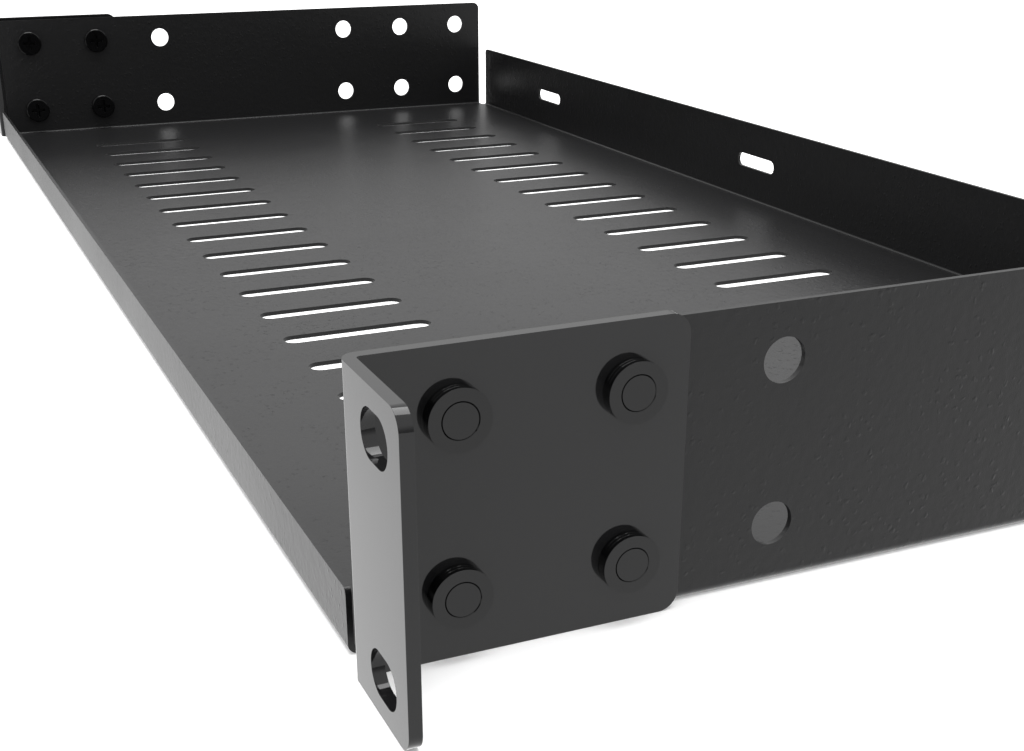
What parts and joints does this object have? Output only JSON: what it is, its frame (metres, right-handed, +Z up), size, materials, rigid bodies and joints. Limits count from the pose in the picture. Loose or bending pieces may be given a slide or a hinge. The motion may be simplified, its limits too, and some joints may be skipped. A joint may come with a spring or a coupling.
{
  "type": "rack shelf",
  "caption": "One-unit vented rack shelf: a shallow folded sheet-steel tray with bolted L-shaped ears that fix to the front rails of a 19 inch rack.",
  "frame": {"origin": "middle of the width and of the depth, on the tray's underside", "axes": "+X across the rack to the right as seen from the front, +Y from the front to the back, +Z up"},
  "size_m": [0.4826, 0.2038, 0.044],
  "materials": {
    "tray_coat": "satin black powder coat with a fine orange-peel texture",
    "ear_coat": "satin black powder coat, smoother than the tray's",
    "fastener_black": "satin black coated steel"
  },
  "bodies": {
    "root": {"tray": "tray_coat", "left_ear": "ear_coat", "right_ear": "ear_coat", "screw_left_front_bottom": "fastener_black", "screw_left_front_top": "fastener_black", "screw_left_rear_bottom": "fastener_black", "screw_left_rear_top": "fastener_black", "screw_right_front_bottom": "fastener_black", "screw_right_front_top": "fastener_black", "screw_right_rear_bottom": "fastener_black", "screw_right_rear_top": "fastener_black", "nut_left_front_bottom": "fastener_black", "nut_left_front_top": "fastener_black", "nut_left_rear_bottom": "fastener_black", "nut_left_rear_top": "fastener_black", "nut_right_front_bottom": "fastener_black", "nut_right_front_top": "fastener_black", "nut_right_rear_bottom": "fastener_black", "nut_right_rear_top": "fastener_black"}
  },
  "joints": []
}
